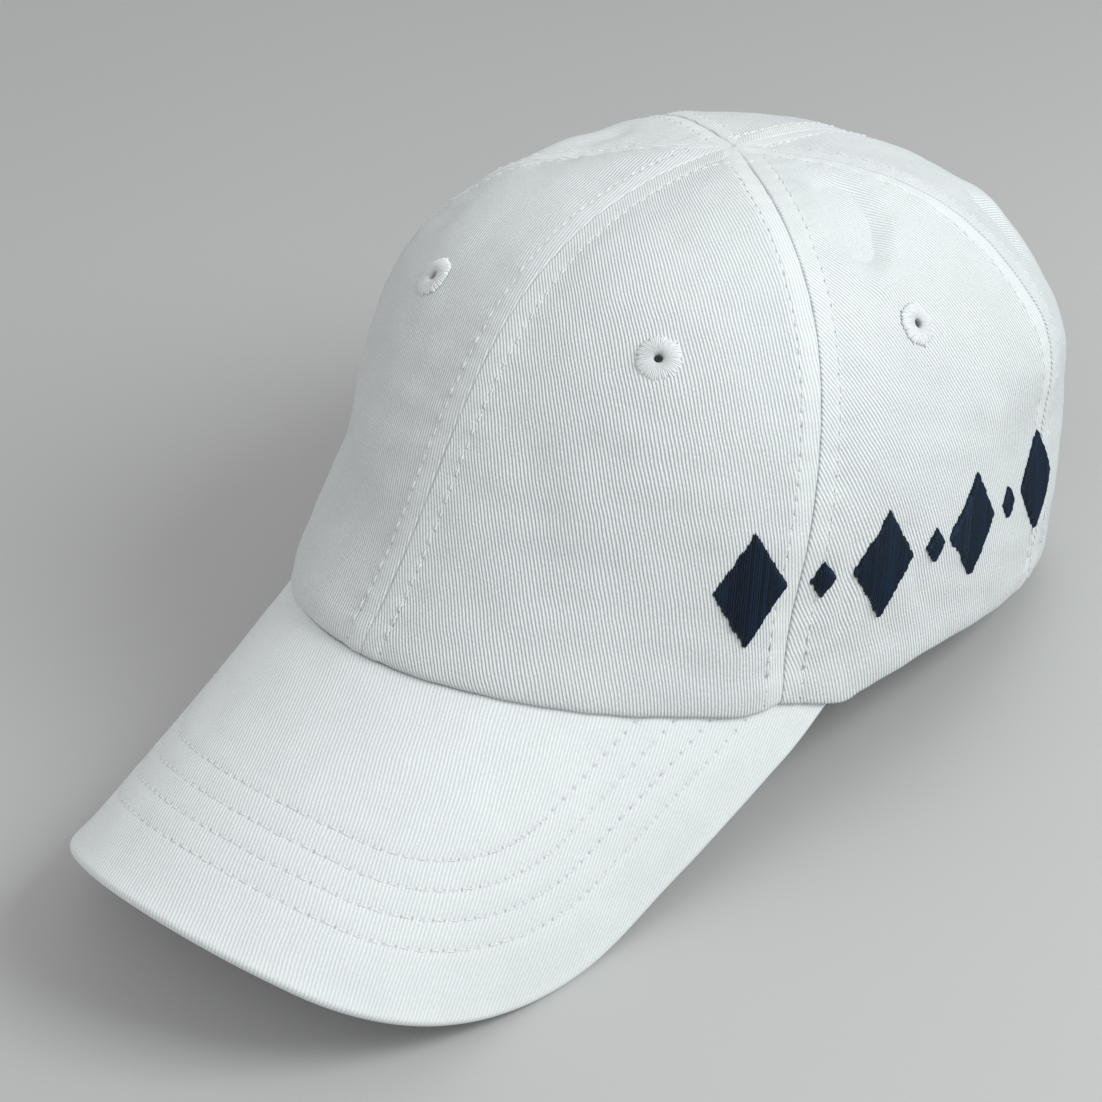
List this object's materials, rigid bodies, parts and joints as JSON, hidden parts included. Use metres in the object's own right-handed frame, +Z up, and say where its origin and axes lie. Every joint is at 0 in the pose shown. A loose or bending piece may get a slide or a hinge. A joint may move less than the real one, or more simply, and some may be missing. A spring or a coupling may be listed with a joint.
{
  "type": "baseball cap",
  "caption": "Soft cloth cap with a panelled crown, stitched curved peak, embroidered eyelets and a raised lozenge row on one side.",
  "frame": {"origin": "on the surface that the cap lies on, under the middle of its box", "axes": "+Z up, the peak towards -Y, the wearer's left towards +X"},
  "size_m": [0.1584, 0.2866, 0.1271],
  "materials": {
    "crown_cloth": "white cotton twill, matt, softly creased",
    "peak_cloth": "white cotton twill over a stiff sheet, with rows of stitching",
    "eyelet_thread": "white embroidery thread, slight sheen",
    "motif_thread": "navy satin stitch, silky sheen"
  },
  "bodies": {
    "root": {"panel_front_left": "crown_cloth", "eyelet_front_left": "eyelet_thread", "panel_side_left": "crown_cloth", "eyelet_side_left": "eyelet_thread", "panel_back_left": "crown_cloth", "eyelet_back_left": "eyelet_thread", "panel_front_right": "crown_cloth", "eyelet_front_right": "eyelet_thread", "panel_side_right": "crown_cloth", "eyelet_side_right": "eyelet_thread", "panel_back_right": "crown_cloth", "eyelet_back_right": "eyelet_thread", "peak": "peak_cloth", "motif_lozenge_1": "motif_thread", "motif_bead_2": "motif_thread", "motif_lozenge_3": "motif_thread", "motif_bead_4": "motif_thread", "motif_lozenge_5": "motif_thread", "motif_bead_6": "motif_thread", "motif_lozenge_7": "motif_thread"}
  },
  "joints": []
}
